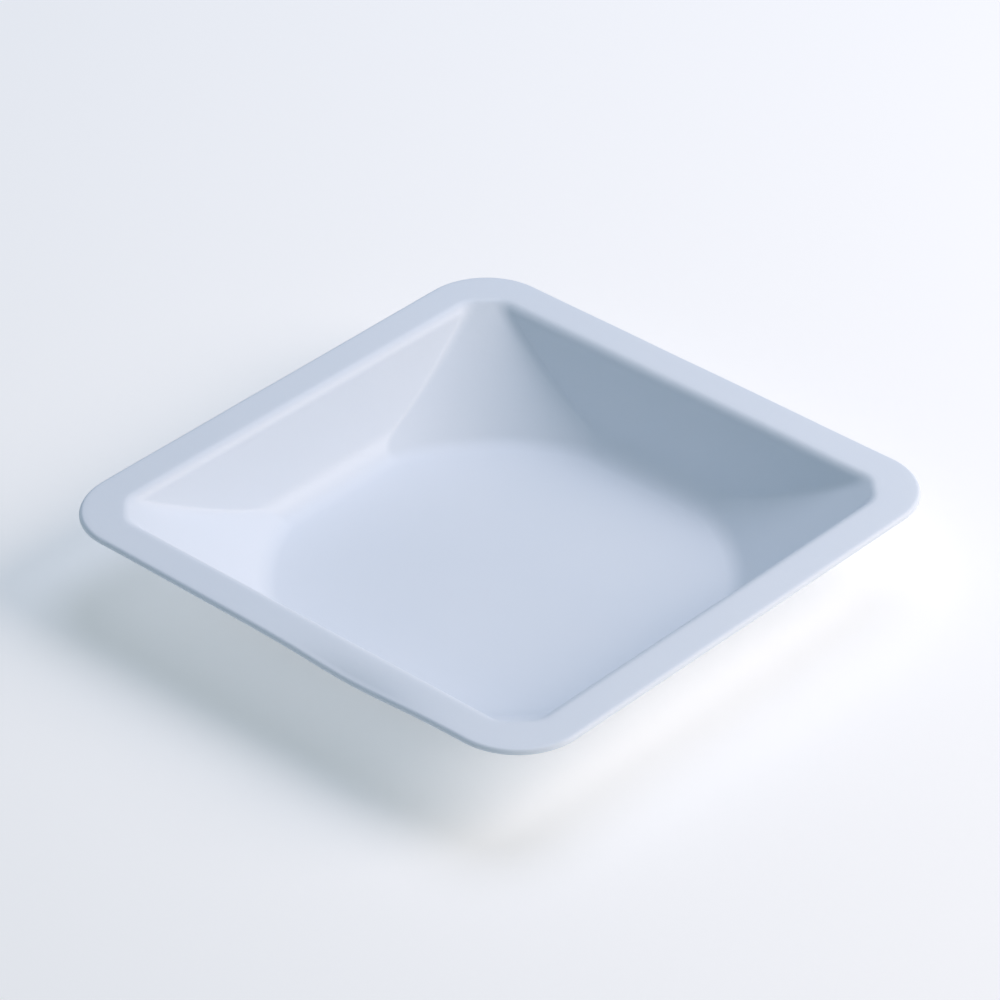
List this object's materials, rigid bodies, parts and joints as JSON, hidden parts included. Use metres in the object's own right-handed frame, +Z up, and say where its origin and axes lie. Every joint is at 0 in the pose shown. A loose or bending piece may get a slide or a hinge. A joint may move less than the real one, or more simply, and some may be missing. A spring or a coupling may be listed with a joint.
{
  "type": "weighing boat",
  "caption": "Square thermoformed weighing boat with a round flat floor, steep flat walls, sloping pouring corners and a flat rim with a rolled edge.",
  "frame": {"origin": "centre of the underside of the floor, where the boat stands on a bench", "axes": "+Z up, out of the open basin; X and Y across the flat sides, so that each pouring corner lies on a diagonal"},
  "size_m": [0.14, 0.14, 0.021],
  "materials": {
    "white_polystyrene": "smooth formed polystyrene sheet, white with a cool tint and a soft gloss"
  },
  "bodies": {
    "root": {"boat": "white_polystyrene"}
  },
  "joints": []
}
